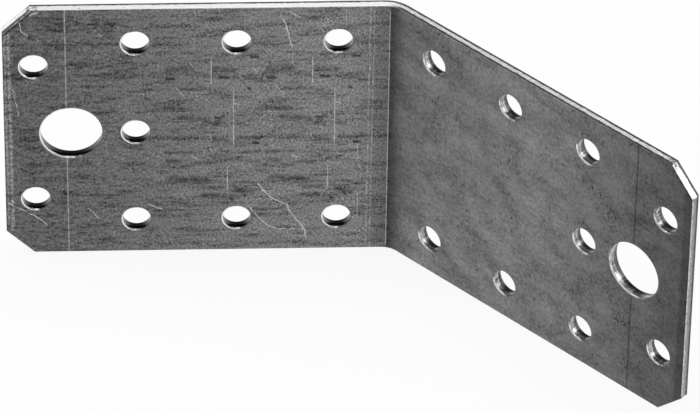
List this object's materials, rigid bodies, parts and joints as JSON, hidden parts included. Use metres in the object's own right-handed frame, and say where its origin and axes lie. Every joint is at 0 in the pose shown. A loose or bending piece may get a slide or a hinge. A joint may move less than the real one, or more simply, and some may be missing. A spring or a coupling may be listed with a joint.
{
  "type": "obtuse angle bracket",
  "caption": "Galvanised sheet-steel bracket folded to an obtuse angle, with flat perforated flanges for nailing or bolting timber members together.",
  "frame": {"origin": "middle of the bracket's box in plan, at the level of the side edge that it stands on", "axes": "+Z along the fold, +X from the free end of flange A towards the fold, +Y out of the outer side of flange A"},
  "size_m": [0.1194, 0.051, 0.055],
  "materials": {
    "galvanised_steel": "dull zinc coat with rolling streaks, specks and fine scratches"
  },
  "bodies": {
    "root": {"bracket": "galvanised_steel"}
  },
  "joints": []
}
